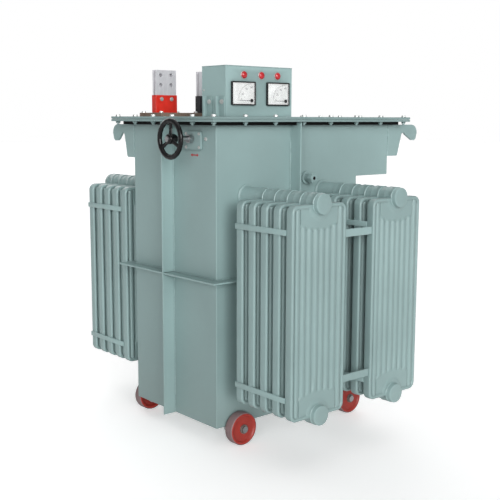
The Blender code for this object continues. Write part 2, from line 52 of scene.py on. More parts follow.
LENS_MM = 64.02
SENSOR_MM = 36.0

# Places read from the frame
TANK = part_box("tank_shell")
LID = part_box("lid")
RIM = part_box("tank_rim")
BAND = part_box("mid_stiffener")
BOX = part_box("control_box")
RIGHT_X, LEFT_X = TANK[1].x, TANK[0].x
FRONT_Y = TANK[0].y
BAND_REACH = 0.056  # how far the mid stiffener stands out behind the lower tank
BACK_Y = BAND[1].y - BAND_REACH
LID_TOP = LID[1].z
TANK_Z = TANK[0].z


# ---------------------------------------------------------------- materials

def node_material(name, roughness, metallic=0.0, **inputs):
    """A new material with its node tree, its shader and the place on the piece, in metres."""
    made = bpy.data.materials.new(name)
    made.use_nodes = True
    tree = made.node_tree
    shader = tree.nodes["Principled BSDF"]
    shader.inputs["Roughness"].default_value = roughness
    shader.inputs["Metallic"].default_value = metallic
    for key, value in inputs.items():
        shader.inputs[key.replace("_", " ")].default_value = value
    place = tree.nodes.new("ShaderNodeTexCoord").outputs["Object"]
    return made, tree, shader, place


def noise_node(tree, place, scale, detail=3.0, roughness=0.55, stretch=None):
    """Soft noise from 0 to 1, drawn out along the axes where stretch is small."""
    if stretch:
        mapping = tree.nodes.new("ShaderNodeMapping")
        mapping.inputs["Scale"].default_value = stretch
        tree.links.new(place, mapping.inputs["Vector"])
        place = mapping.outputs["Vector"]
    made = tree.nodes.new("ShaderNodeTexNoise")
    made.inputs["Scale"].default_value = scale
    made.inputs["Detail"].default_value = detail
    made.inputs["Roughness"].default_value = roughness
    tree.links.new(place, made.inputs["Vector"])
    return made.outputs["Fac"]


def ramp(tree, value, stops):
    """A colour ramp: stops of (position, linear colour)."""
    made = tree.nodes.new("ShaderNodeValToRGB")
    elements = made.color_ramp.elements
    while len(elements) < len(stops):
        elements.new(0.5)
    for element, (position, colour) in zip(elements, stops):
        element.position = position
        element.color = (*colour, 1.0)
    tree.links.new(value, made.inputs["Fac"])
    return made.outputs["Color"]


def mix(tree, factor, first, second):
    """Colour first at factor 0, second at factor 1."""
    made = tree.nodes.new("ShaderNodeMix")
    made.data_type = "RGBA"
    for socket, value in ((made.inputs[0], factor), (made.inputs[6], first), (made.inputs[7], second)):
        if isinstance(value, bpy.types.NodeSocket):
            tree.links.new(value, socket)
        else:
            socket.default_value = value
    return made.outputs[2]


def map_range(tree, value, low, high, to_low, to_high):
    """Value scaled from low..high to to_low..to_high, and held there beyond."""
    made = tree.nodes.new("ShaderNodeMapRange")
    for index, number in enumerate((low, high, to_low, to_high), 1):
        made.inputs[index].default_value = number
    tree.links.new(value, made.inputs[0])
    return made.outputs[0]


def calculate(tree, operation, first, second):
    """The result of a math node on two sockets, or on a socket and a number."""
    made = tree.nodes.new("ShaderNodeMath")
    made.operation = operation
    for socket, value in zip(made.inputs, (first, second)):
        if isinstance(value, bpy.types.NodeSocket):
            tree.links.new(value, socket)
        else:
            socket.default_value = value
    return made.outputs[0]


def bump(tree, shader, height, strength, distance):
    made = tree.nodes.new("ShaderNodeBump")
    made.inputs["Strength"].default_value = strength
    made.inputs["Distance"].default_value = distance
    tree.links.new(height, made.inputs["Height"])
    tree.links.new(made.outputs["Normal"], shader.inputs["Normal"])


def height_above(tree, place):
    split = tree.nodes.new("ShaderNodeSeparateXYZ")
    tree.links.new(place, split.inputs[0])
    return split.outputs["Z"]


def pointiness_mask(tree, low=0.52, high=0.60):
    """1 on sharp convex edges, 0 elsewhere, and with low above high 1 in concave corners: the mask of
    rubbed paint and painted highlight on edges, and of painted shade in hollows.
    """
    made = tree.nodes.new("ShaderNodeNewGeometry")
    return map_range(tree, made.outputs["Pointiness"], low, high, 0.0, 1.0)


def crease(tree, distance):
    """1 deep in narrow gaps and corners, 0 on open faces: where painted shade darkens the paint."""
    made = tree.nodes.new("ShaderNodeAmbientOcclusion")
    made.samples = 8
    made.inputs["Distance"].default_value = distance
    return map_range(tree, made.outputs["AO"], 0.30, 0.90, 1.0, 0.0)


def shade(colour, factor):
    return tuple(channel * factor for channel in colour)


FLOOR_DUST = (0.24, 0.22, 0.19, 1.0)
BARE_PRIMER = (0.16, 0.13, 0.11, 1.0)
# How far from a gap or corner the painted shade reaches.
CREASE_REACH = 0.014
DUST_HEIGHTS = (TANK_Z - 0.08, TANK_Z + 0.25)
# Heights over which the paint is darkened towards the bottom as painted shade.
LOW_SHADE_HEIGHTS = (TANK_Z + 0.2, TANK_Z + 1.0)


def painted_metal(name, colour, roughness=0.40, dust=0.25, chips=0.0, hollow_shade=0.3, gap_shade=0.35, low_shade=0.0):
    """Brushed-on enamel: patchy tone, orange peel, floor dust, edges lighter from rubbing and from a
    painted highlight, and painted shade.

    Dust is the share of floor dust low down and chips the share of primer that shows. The three other
    shares are painted shade:
    in concave edges, in narrow gaps, and darkening the paint towards the bottom.
    """
    made, tree, shader, place = node_material(name, roughness, Coat_Weight=0.15, Coat_Roughness=0.25)
    patches = noise_node(tree, place, 3.2, 4.0)
    fine = noise_node(tree, place, 38.0, 3.0)
    tone = ramp(tree, patches, [(0.30, shade(colour, 0.93)), (0.70, shade(colour, 1.06))])
    tone = mix(tree, map_range(tree, fine, 0.35, 0.75, 0.0, 0.10), tone, (*shade(colour, 0.80), 1.0))
    # Sharp edges lightened: rubbed paint, and a painted highlight along them.
    rub_and_highlight = pointiness_mask(tree)
    tone = mix(tree, map_range(tree, rub_and_highlight, 0.0, 1.0, 0.0, 0.6), tone, (*shade(colour, 1.45), 1.0))
    # Concave edges darkened: painted shade.
    hollow_shade_mask = pointiness_mask(tree, 0.485, 0.44)
    tone = mix(tree, map_range(tree, hollow_shade_mask, 0.0, 1.0, 0.0, hollow_shade), tone, (*shade(colour, 0.45), 1.0))
    # Narrow gaps and corners darkened: painted shade.
    depth = map_range(tree, crease(tree, CREASE_REACH), 0.0, 1.0, 0.0, gap_shade)
    tone = mix(tree, depth, tone, (*shade(colour, 0.30), 1.0))
    # Paint darkened towards the bottom: painted shade.
    if low_shade:
        low_shade_mask = map_range(tree, height_above(tree, place), *LOW_SHADE_HEIGHTS, low_shade, 0.0)
        tone = mix(tree, low_shade_mask, tone, (*shade(colour, 0.35), 1.0))
    low = map_range(tree, height_above(tree, place), *DUST_HEIGHTS, dust, 0.0)
    grime = noise_node(tree, place, 9.0, 5.0, 0.6)
    tone = mix(tree, calculate(tree, "MULTIPLY", low, grime), tone, FLOOR_DUST)
    if chips:
        chip = ramp(tree, noise_node(tree, place, 55.0, 4.0, 0.7), [(0.60, (0, 0, 0)), (0.66, (1, 1, 1))])
        tone = mix(tree, calculate(tree, "MULTIPLY", chip, chips), tone, BARE_PRIMER)
    tree.links.new(tone, shader.inputs["Base Color"])
    tree.links.new(
        map_range(tree, patches, 0.3, 0.7, roughness - 0.05, roughness + 0.08), shader.inputs["Roughness"]
    )
    bump(tree, shader, noise_node(tree, place, 210.0, 2.0), 0.10, 0.0006)
    return made


def bare_metal(name, colour, roughness=0.32, grain=(1.0, 1.0, 30.0), metallic=1.0):
    """Machined or rolled metal with a drawn grain and dulled patches."""
    made, tree, shader, place = node_material(name, roughness, metallic)
    streak = noise_node(tree, place, 22.0, 5.0, 0.6, grain)
    patches = noise_node(tree, place, 14.0, 3.0)
    tone = ramp(tree, streak, [(0.25, shade(colour, 0.72)), (0.75, shade(colour, 1.12))])
    tone = mix(tree, map_range(tree, patches, 0.45, 0.8, 0.0, 0.4), tone, (*shade(colour, 0.6), 1.0))
    tree.links.new(tone, shader.inputs["Base Color"])
    tree.links.new(
        map_range(tree, streak, 0.2, 0.8, roughness - 0.08, roughness + 0.14), shader.inputs["Roughness"]
    )
    bump(tree, shader, streak, 0.12, 0.0004)
    return made


def moulded(name, colour, roughness=0.4, grain=320.0, depth=0.15, **inputs):
    """Plastic, rubber or board: faint mottling and a moulded skin."""
    made, tree, shader, place = node_material(name, roughness, **inputs)
    mottling = noise_node(tree, place, 28.0, 4.0)
    tone = ramp(tree, mottling, [(0.3, shade(colour, 0.86)), (0.7, shade(colour, 1.10))])
    tree.links.new(tone, shader.inputs["Base Color"])
    tree.links.new(
        map_range(tree, mottling, 0.3, 0.7, roughness - 0.05, roughness + 0.08), shader.inputs["Roughness"]
    )
    bump(tree, shader, noise_node(tree, place, grain, 2.0), depth, 0.0003)
    return made


def laminated_board(name):
    """Brown laminate: long fibres across the board."""
    made, tree, shader, place = node_material(name, 0.52)
    fibre = noise_node(tree, place, 40.0, 5.0, 0.65, (0.35, 6.0, 6.0))
    tone = ramp(tree, fibre, [(0.25, (0.13, 0.085, 0.062)), (0.75, (0.28, 0.20, 0.155))])
    tree.links.new(tone, shader.inputs["Base Color"])
    bump(tree, shader, fibre, 0.2, 0.0005)
    return made


def winding_copper(name):
    """Fine turns of enamelled wire, as a wave along the ring's axis."""
    made, tree, shader, place = node_material(name, 0.30, 0.85)
    wave = tree.nodes.new("ShaderNodeTexWave")
    wave.bands_direction = "Z"
    wave.inputs["Scale"].default_value = 90.0
    wave.inputs["Distortion"].default_value = 0.6
    tree.links.new(place, wave.inputs["Vector"])
    tone = ramp(tree, wave.outputs["Fac"], [(0.2, (0.20, 0.075, 0.03)), (0.8, (0.62, 0.27, 0.12))])
    tree.links.new(tone, shader.inputs["Base Color"])
    bump(tree, shader, wave.outputs["Fac"], 0.5, 0.0008)
    return made


def clear_glass(name):
    """A thin clear window with a few smears."""
    made, tree, shader, place = node_material(name, 0.06, Alpha=0.16, Specular_IOR_Level=0.6)
    smear = noise_node(tree, place, 30.0, 3.0)
    tree.links.new(map_range(tree, smear, 0.4, 0.8, 0.04, 0.14), shader.inputs["Roughness"])
    tone = ramp(tree, smear, [(0.3, (0.90, 0.92, 0.92)), (0.7, (0.97, 0.98, 0.98))])
    tree.links.new(tone, shader.inputs["Base Color"])
    return made


PAINT = (0.248, 0.354, 0.350)
M = {
    # The tank paint, darkened towards the bottom as painted shade.
    "paint": painted_metal("enamel_green", PAINT, low_shade=0.28),
    # The rim paint is the tank's green darkened as painted shade.
    "rim": painted_metal("enamel_rim_shaded", shade(PAINT, 0.74), 0.60),
    # The radiator paint is the tank's green made a little darker as painted shade, with stronger painted
    # shade in its hollows.
    "radiator": painted_metal("enamel_radiator", shade(PAINT, 0.98), 0.34, hollow_shade=0.6, gap_shade=0.30),
    "red": painted_metal("enamel_red", (0.31, 0.016, 0.008), 0.42, 0.10, 0.12),
    "tread": painted_metal("worn_tread", (0.20, 0.125, 0.13), 0.60, 0.25, 0.5),
    "hub": bare_metal("dull_hub", (0.20, 0.165, 0.15), 0.50, (5.0, 5.0, 5.0), 0.4),
    "black": moulded("black_enamel", (0.0045, 0.0045, 0.005), 0.13, 120.0, 0.05, Specular_IOR_Level=0.3),
    # Near-black as a painted shadow under the rim's flange.
    "shadow_bar": moulded("black_bar_painted_shadow", (0.003, 0.003, 0.0035), 0.6, 120.0, 0.06, Specular_IOR_Level=0.15),
    "rubber": moulded("rubber", (0.014, 0.014, 0.015), 0.75, 240.0, 0.3),
    "steel": bare_metal("machined_steel", (0.50, 0.50, 0.51), 0.30),
    "plated": bare_metal("plated_bolt", (0.60, 0.61, 0.60), 0.30, (6.0, 6.0, 6.0), 0.55),
    "bus": bare_metal("tinned_bar", (0.74, 0.735, 0.77), 0.45, (1.0, 26.0, 1.0), 0.35),
    "red_sleeve": moulded("red_sleeve", (0.66, 0.022, 0.010), 0.34, 60.0, 0.25, Coat_Weight=0.2),
    "black_sleeve": moulded("black_sleeve", (0.012, 0.011, 0.015), 0.40, 60.0, 0.25),
    "board": laminated_board("laminate"),
    "copper": winding_copper("winding"),
    "iron": bare_metal("laminations", (0.16, 0.16, 0.17), 0.5, (1.0, 60.0, 1.0)),
    "insulator": moulded("insulator", (0.16, 0.085, 0.045), 0.45),
    "meter": moulded("meter_moulding", (0.012, 0.012, 0.013), 0.22, 200.0, 0.05),
    "dial": moulded("dial_card", (0.90, 0.91, 0.90), 0.55, 400.0, 0.03),
    "ink": moulded("dial_ink", (0.02, 0.02, 0.022), 0.6),
    "glass": clear_glass("meter_window"),
    "lamp": moulded("lamp_lens", (0.50, 0.014, 0.020), 0.14, 80.0, 0.1, Coat_Weight=0.5),
    "bezel": bare_metal("lamp_bezel", (0.66, 0.52, 0.50), 0.28, (4.0, 4.0, 4.0), 0.5),
    "mark": moulded("red_mark", (0.42, 0.03, 0.03), 0.5),
}


# ---------------------------------------------------------------- shapes

def finish_mesh(name, shape, finish, body="tank", angle=35, turn_out=True):
    """Turns a bmesh in the frame's coordinates into a piece that rides on its body."""
    if turn_out:
        bmesh.ops.recalc_face_normals(shape, faces=shape.faces)
    mesh = bpy.data.meshes.new(name)
    shape.to_mesh(mesh)
    shape.free()
    mesh.shade_smooth()
    mesh.set_sharp_from_angle(angle=radians(angle))
    mesh.materials.append(M[finish])
    piece = bpy.data.objects.new(name, mesh)
    bpy.context.collection.objects.link(piece)
    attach(piece, body)
    return piece


def refine(node, width, finish, body="tank", segments=2, angle=40):
    """Stands for a sharp-edged CAD node: its faces merged and its edges rounded."""
    shape = bmesh.new()
    shape.from_mesh(NODES[node].data)
    bmesh.ops.remove_doubles(shape, verts=shape.verts, dist=1e-5)
    bmesh.ops.dissolve_limit(shape, angle_limit=radians(1), verts=shape.verts, edges=shape.edges)
    edges = [e for e in shape.edges if len(e.link_faces) == 2 and e.calc_face_angle(0) > radians(angle)]
    bmesh.ops.bevel(
        shape, geom=edges, offset=width, segments=segments, profile=0.5, affect="EDGES", clamp_overlap=True
    )
    piece = finish_mesh(f"{node}_finished", shape, finish, body, 50, turn_out=False)
    even = piece.modifiers.new("even_normals", "WEIGHTED_NORMAL")
    even.keep_sharp = True
    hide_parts(node)
    return piece


# Turns that lay a shape made round Z along another axis
AXES = {
    "x": Matrix(((0, 0, 1), (1, 0, 0), (0, 1, 0))).to_4x4(),
    "-x": Matrix(((0, 0, -1), (-1, 0, 0), (0, 1, 0))).to_4x4(),
    "y": Matrix(((0, 1, 0), (0, 0, 1), (1, 0, 0))).to_4x4(),
    "-y": Matrix(((1, 0, 0), (0, 0, -1), (0, 1, 0))).to_4x4(),
    "z": Matrix.Identity(4),
    "-z": Matrix(((1, 0, 0), (0, -1, 0), (0, 0, -1))).to_4x4(),
}


def lathe(shape, centre, axis, profile, sides=48):
    """Turns (radius, distance along axis) points round an axis through centre. Radius 0 closes it."""
    turn = Matrix.Translation(centre) @ AXES[axis]
    rings = []
    for radius, along in profile:
        if radius == 0:
            rings.append([shape.verts.new(turn @ Vector((0, 0, along)))])
            continue
        rings.append([
            shape.verts.new(turn @ Vector((
                radius * cos(2 * pi * i / sides), radius * sin(2 * pi * i / sides), along
            )))
            for i in range(sides)
        ])
    for first, second in zip(rings, rings[1:]):
        for i in range(sides):
            j = (i + 1) % sides
            corners = [first[i % len(first)], first[j % len(first)],
                       second[j % len(second)], second[i % len(second)]]
            unique = list(dict.fromkeys(corners))
            if len(unique) > 2:
                shape.faces.new(unique)


def close_tube(shape, rings):
    """Faces between rings of equal count, and a face over each end."""
    for first, second in zip(rings, rings[1:]):
        for i in range(len(first)):
            j = (i + 1) % len(first)
            shape.faces.new((first[i], first[j], second[j], second[i]))
    shape.faces.new(rings[0][::-1])
    shape.faces.new(rings[-1])


WASHER_T = 0.0016


def hexagon_bolt(shape, centre, axis, across, height, washer):
    """A washer under a chamfered hexagon head: across its flats, its height and the washer's radius."""
    lathe(shape, centre, axis, [(0, 0), (washer, 0), (washer, WASHER_T), (0, WASHER_T)], 20)
    turn = Matrix.Translation(centre) @ AXES[axis]
    reach = across / sqrt(3)
    levels = ((WASHER_T - 0.0001, reach), (height - 0.0012, reach), (height, reach * 0.86))
    rings = []
    for along, radius in levels:
        rings.append([
            shape.verts.new(turn @ Vector((radius * cos(pi * i / 3), radius * sin(pi * i / 3), along)))
            for i in range(6)
        ])
    close_tube(shape, rings)


def tube(shape, points, radius, sides, wobble, seed):
    """A closed tube through points, with the uneven surface of a weld bead."""
    rings = []
    for index, point in enumerate(points):
        before = Vector(points[max(index - 1, 0)])
        after = Vector(points[min(index + 1, len(points) - 1)])
        along = (after - before).normalized()
        side = along.cross(Vector((0.31, 0.74, 0.59))).normalized()
        up = along.cross(side)
        ring = []
        for i in range(sides):
            a = 2 * pi * i / sides
            uneven = wobble * noise.noise(Vector((index * 0.9 + seed, i * 0.7, seed)))
            r = radius * (1 + uneven)
            ring.append(shape.verts.new(Vector(point) + side * (r * cos(a)) + up * (r * sin(a))))
        rings.append(ring)
    close_tube(shape, rings)


RIPPLE = 0.0045  # length of one ripple of a weld


def weld(shape, start, end, radius=0.0022, seed=0.0):
    """A rippled bead from start to end."""
    start, end = Vector(start), Vector(end)
    count = max(6, int((end - start).length / RIPPLE))
    tube(shape, [start.lerp(end, i / count) for i in range(count + 1)], radius, 6, 0.5, seed)


def rounded_box(shape, low, high, radius):
    """A box with rounded edges."""
    low, high = Vector(low), Vector(high)
    size = high - low
    made = bmesh.ops.create_cube(
        shape, size=1.0,
        matrix=Matrix.Translation((low + high) / 2) @ Matrix.Diagonal((*size, 1.0)),
    )
    edges = list({e for v in made["verts"] for e in v.link_edges})
    bmesh.ops.bevel(
        shape, geom=edges, offset=min(radius, min(size) * 0.45), segments=2, profile=0.5, affect="EDGES"
    )


def smooth_step(value, low, high):
    """0 below low, 1 above high, and an S-curve between."""
    t = min(max((value - low) / (high - low), 0.0), 1.0)
    return t * t * (3 - 2 * t)


# ---------------------------------------------------------------- radiators

PANELS = 5
PANEL_HALF_T = 0.0190
FIRST_PANEL = 0.1245  # from the tank wall to the middle of the first panel
LAST_PANEL = 0.039  # from the outer end of the header cap to the middle of the last panel
HEADER_R = 0.040
CORNER_R = 0.030
RIM_FLAT = 0.0120  # half the flat of a panel's edge
RIM_ROUND = 0.0066
VALLEY = (0.0105, 0.0150)  # from the outline: where the rim starts to sink, and the field begins
FLUTES = 8
FLUTE_INSET = 0.0145
FLUTE_ENDS = (0.0125, 0.0185)
FIELD_HALF_T = 0.0140  # of the plain field round a header
GROOVE_HALF_T = 0.0095
RIDGE = 0.0090  # of a flute above its groove
MINOR_RIDGE = 0.82
FIELD_REACH = 0.092  # of the plain field below a header, at the panel's middle
FIELD_CURVE = 1.9
BOSS = (0.053, 0.062)  # where the pressed boss round a header ends
BOSS_RISE = 0.0032
END_ZONE = 0.105  # height of the finely meshed zone at both ends of a panel
EDGE_STEPS = (0.0, 0.0002, 0.0008, 0.0018, 0.0034, 0.0052, 0.0070, 0.0105, 0.0128, 0.0150, 0.0185)


def rounded_inset(along, z, half_w, low_z, high_z, middle):
    """How far a place on a panel is from its outline, with its corners rounded."""
    across = half_w - abs(along - middle)
    up = min(z - low_z, high_z - z)
    if across < CORNER_R and up < CORNER_R:
        return CORNER_R - hypot(CORNER_R - across, CORNER_R - up)
    return min(across, up)


def panel_height(along, z, half_w, low_z, high_z, headers, middle):
    """Half the thickness of a pressed panel at a place: a raised rim, a valley and flutes."""
    edge = rounded_inset(along, z, half_w, low_z, high_z, middle)
    turn = 1 - min(edge / RIM_ROUND, 1.0)
    height = RIM_FLAT + RIM_ROUND * sqrt(max(0.0, 1 - turn ** 2))
    valley = smooth_step(edge, *VALLEY)
    span = 2 * (half_w - FLUTE_INSET)
    phase = (along - middle + span / 2) / span * FLUTES
    number = int(phase)
    ridge = smooth_step(0.5 - abs(phase - number - 0.5), 0.10, 0.34)
    major = 1.0 if number % 3 == 0 or number == FLUTES - 1 else MINOR_RIDGE
    offset = along - middle
    outermost = number in (0, FLUTES - 1)
    start = -1.0 if outermost else FIELD_REACH - FIELD_CURVE * offset * offset
    away = min(abs(z - hz) if (z > headers[0]) and (z < headers[1]) else -0.01 for hz in headers)
    inside = smooth_step(away, start, start + 0.010)
    inside *= smooth_step(edge, *FLUTE_ENDS)
    field = FIELD_HALF_T + inside * (GROOVE_HALF_T + RIDGE * major * ridge - FIELD_HALF_T)
    height += valley * (field - height)
    boss = 1 - smooth_step(min(hypot(offset, z - hz) for hz in headers), *BOSS)
    return min(height + BOSS_RISE * boss * valley, PANEL_HALF_T)


def edged_steps(low, high, step):
    """Places from low to high: close together at both ends, and step apart between."""
    inner_low, inner_high = low + EDGE_STEPS[-1], high - EDGE_STEPS[-1]
    count = max(1, round((inner_high - inner_low) / step))
    middle = [inner_low + (inner_high - inner_low) * i / count for i in range(1, count)]
    return [low + e for e in EDGE_STEPS] + middle + [high - e for e in reversed(EDGE_STEPS)]


def panel_mesh(shape, x, near_y, far_y, low_z, high_z, headers):
    """One pressed panel: a front and a back skin that meet round its rim."""
    middle = (near_y + far_y) / 2
    half_w = (far_y - near_y) / 2
    top, bottom = high_z - END_ZONE, low_z + END_ZONE
    levels = [z for z in edged_steps(low_z, high_z, 0.0055) if z > top or z < bottom]
    levels += [bottom + (top - bottom) * i / 10 for i in range(11)]
    levels = sorted(set(levels))
    sides = {}
    for sign in (1, -1):
        rows = []
        for z in levels:
            inside = min(z - low_z, high_z - z)
            cut = 0.0
            if inside < CORNER_R:
                cut = CORNER_R - sqrt(CORNER_R ** 2 - (CORNER_R - inside) ** 2)
            row = []
            for y in edged_steps(near_y + cut, far_y - cut, (far_y - near_y) / 100):
                thick = panel_height(y, z, half_w, low_z, high_z, headers, middle)
                row.append(shape.verts.new((x + sign * thick, y, z)))
            rows.append(row)
        sides[sign] = rows
        for first, second in zip(rows, rows[1:]):
            stitch(shape, first, second)
    rim = [
        rows[0][:] + [row[-1] for row in rows[1:]] + rows[-1][-2::-1] + [row[0] for row in rows[-2:0:-1]]
        for rows in (sides[1], sides[-1])
    ]
    for j in range(len(rim[0])):
        k = (j + 1) % len(rim[0])
        shape.faces.new((rim[0][j], rim[0][k], rim[1][k], rim[1][j]))


def stitch(shape, first, second):
    """Faces between two rows of points that may differ in count in their middles."""
    edge = len(EDGE_STEPS)
    for j in range(edge - 1):
        shape.faces.new((first[j], first[j + 1], second[j + 1], second[j]))
        k = -1 - j
        shape.faces.new((first[k - 1], first[k], second[k], second[k - 1]))
    i, j = edge - 1, edge - 1
    last_i, last_j = len(first) - edge, len(second) - edge
    while i < last_i or j < last_j:
        step_i = (i + 1 - edge) / max(1, last_i - edge + 1)
        step_j = (j + 1 - edge) / max(1, last_j - edge + 1)
        if i < last_i and j < last_j and last_i == last_j:
            shape.faces.new((first[i], first[i + 1], second[j + 1], second[j]))
            i, j = i + 1, j + 1
        elif j >= last_j or (i < last_i and step_i <= step_j):
            shape.faces.new((first[i], first[i + 1], second[j]))
            i += 1
        else:
            shape.faces.new((first[i], second[j + 1], second[j]))
            j += 1


def collar_weld(shape, x, y, z, radius):
    """The rounded weld where a header passes through a panel."""
    half = PANEL_HALF_T
    side = [
        (radius - 0.001, half + 0.0012), (radius + 0.0008, half + 0.0006),
        (radius + 0.0018, half - 0.0008), (radius + 0.0010, half - 0.0026),
    ]
    profile = [(r, -along) for r, along in side] + [(r, along) for r, along in reversed(side)]
    lathe(shape, (x, y, z), "x", profile + [profile[0]], 40)


def header_pipe(shape, side, start, end, y, z, radius):
    """A header from the tank wall to its end cap, with a collar on the wall and a swaged cap."""
    length = abs(end - start)
    cap = radius - 0.0004
    radius -= 0.0016
    profile = [
        (0, 0.0005), (radius + 0.008, 0.0005), (radius + 0.008, 0.004), (radius + 0.001, 0.007),
        (radius, 0.010), (radius, length - 0.034), (radius - 0.0005, length - 0.026),
        (cap + 0.001, length - 0.022), (cap, length - 0.020), (cap, length - 0.004),
        (cap - 0.001, length - 0.0015), (cap - 0.004, length - 0.0003), (cap * 0.5, length - 0.0001),
        (0, length),
    ]
    lathe(shape, (start, y, z), "x" if side > 0 else "-x", profile, 48)


STRAP_H = 0.022
STRAP_OUT = 0.0045  # how far a strap stands out from the panels' edges


def strap_levels(low_z, high_z):
    """Lower edges of the upper and the lower strap."""
    return (high_z - 0.112, low_z + 0.072)


def spacer_straps(shape, xs, y_near, y_far, z):
    """Flat bars that tie the panels' edges together, one on each side."""
    low_x, high_x = min(xs) - PANEL_HALF_T - 0.0005, max(xs) - PANEL_HALF_T + 0.004
    for y, out in ((y_near, -1), (y_far, 1)):
        ys = sorted((y + out * STRAP_OUT, y - out * 0.0020))
        rounded_box(shape, (low_x, ys[0], z), (high_x, ys[1], z + STRAP_H), 0.001)


def build_radiator(node, side):
    """One radiator: its panels stand for the CAD node, and the rest is finish. Side is 1 right, -1 left."""
    low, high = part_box(node)
    near_y, far_y = low.y, high.y
    middle = (near_y + far_y) / 2
    wall = RIGHT_X if side > 0 else LEFT_X
    outer = high.x if side > 0 else low.x
    headers = (low.z + HEADER_R, high.z - HEADER_R)
    low_z, high_z = headers[0] - 0.008, headers[1] - 0.001
    last = outer - side * LAST_PANEL
    first = wall + side * FIRST_PANEL
    xs = [first + (last - first) * i / (PANELS - 1) for i in range(PANELS)]
    shape = bmesh.new()
    for x in xs:
        panel_mesh(shape, x, near_y, far_y, low_z, high_z, headers)
    panels = finish_mesh(f"{node}_panels", shape, "radiator", angle=50)
    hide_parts(node)
    shape = bmesh.new()
    for z in headers:
        header_pipe(shape, side, wall + side * 0.0003, outer, middle, z, HEADER_R)
        for x in xs:
            collar_weld(shape, x, middle, z, HEADER_R)
    finish_mesh(f"{node}_headers", shape, "radiator", angle=40)
    shape = bmesh.new()
    for z in strap_levels(low_z, high_z):
        spacer_straps(shape, xs, near_y, far_y, z)
    finish_mesh(f"{node}_straps", shape, "radiator")
    shape = bmesh.new()
    for x in xs:
        for y in (near_y - 0.0004, far_y + 0.0004):
            for level in strap_levels(low_z, high_z):
                for z in (level, level + STRAP_H):
                    if x != max(xs):
                        weld(shape, (x - 0.008, y, z), (x + 0.008, y, z), 0.0018, x + z)
    finish_mesh(f"{node}_welds", shape, "radiator", angle=60)


# ---------------------------------------------------------------- tank

def build_tank_finish():
    refine("tank_shell", 0.0042, "paint", segments=3)
    # The rim and the lid take the rim paint, the tank's green darkened as painted shade.
    refine("tank_rim", 0.0012, "rim")
    refine("lid", 0.0014, "rim")
    # The rim bar is near-black as a painted shadow under the flange.
    refine("rim_bar", 0.0010, "shadow_bar")
    for node in ("mid_stiffener", "front_rib", "right_rib", "left_rib"):
        refine(node, 0.0010, "paint")
    for node in ("hook_left", "hook_right"):
        refine(node, 0.0016, "paint", segments=3, angle=50)
    for node in ("tie_bar_lower", "tie_bar_upper"):
        refine(node, 0.0009, "paint")


def build_tank_welds():
    """Fillet welds at the ribs, the stiffener, the hooks and under the rim."""
    shape = bmesh.new()
    rib_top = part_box("rim_bar")[0].z - 0.004
    out = 0.0016
    spans = ((TANK_Z + 0.004, BAND[0].z - 0.004), (BAND[1].z + 0.004, rib_top))
    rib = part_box("front_rib")
    side_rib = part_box("right_rib")
    for low, high in spans:
        for x in (rib[0].x - out, rib[1].x + out):
            weld(shape, (x, FRONT_Y - out, low), (x, FRONT_Y - out, high), seed=x)
        for wall, sign in ((RIGHT_X, 1), (LEFT_X, -1)):
            for y in (side_rib[0].y - out, side_rib[1].y + out):
                weld(shape, (wall + sign * out, y, low), (wall + sign * out, y, high), 0.0028, y)
    for z in (BAND[0].z - out, BAND[1].z + out):
        weld(shape, (LEFT_X, FRONT_Y - out, z), (rib[0].x - 0.003, FRONT_Y - out, z), seed=z)
        weld(shape, (rib[1].x + 0.003, FRONT_Y - out, z), (RIGHT_X, FRONT_Y - out, z), seed=z + 1)
        for wall, sign in ((RIGHT_X, 1), (LEFT_X, -1)):
            x = wall + sign * out
            weld(shape, (x, FRONT_Y, z), (x, side_rib[0].y - 0.003, z), seed=z + 2)
            weld(shape, (x, side_rib[1].y + 0.003, z), (x, BACK_Y, z), seed=z + 3)
    left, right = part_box("hook_left"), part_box("hook_right")
    for y in (left[0].y - 0.0004, left[1].y + out):
        weld(shape, (LEFT_X - out, y, left[0].z), (LEFT_X - out, y, left[1].z), 0.0026, 3)
    for x in (right[0].x - out, right[1].x - 0.0004):
        y = right[0].y + out
        weld(shape, (x, y, right[0].z), (x, y, right[1].z), 0.0030, 4)
    finish_mesh("tank_welds", shape, "paint", angle=60)


LID_BOLT_INSET = 0.022
LID_BOLT = (0.017, 0.0085, 0.0115)
BOLT_END = [(0, 0), (0.0056, 0), (0.0056, 0.004), (0.0046, 0.005), (0, 0.005)]


def lid_bolt_places():
    """Bolt centres round the lid: five spaces across each end and seven along each side."""
    xs = (LID[0].x + LID_BOLT_INSET, LID[1].x - LID_BOLT_INSET)
    ys = (LID[0].y + LID_BOLT_INSET, LID[1].y - LID_BOLT_INSET)
    places = []
    for i in range(6):
        x = xs[0] + (xs[1] - xs[0]) * i / 5
        places += [(x, ys[0]), (x, ys[1])]
    for i in range(1, 7):
        y = ys[0] + (ys[1] - ys[0]) * i / 7
        places += [(xs[0], y), (xs[1], y)]
    return places


def build_lid_bolts():
    heads, nuts = bmesh.new(), bmesh.new()
    for x, y in lid_bolt_places():
        hexagon_bolt(heads, (x, y, LID_TOP), "z", *LID_BOLT)
        hexagon_bolt(nuts, (x, y, RIM[0].z), "-z", *LID_BOLT)
        lathe(nuts, (x, y, RIM[0].z - 0.0092), "-z", BOLT_END, 14)
    finish_mesh("lid_bolt_heads", heads, "plated")
    # The nuts under the rim take the rim paint, darkened as painted shade.
    finish_mesh("lid_nuts", nuts, "rim")


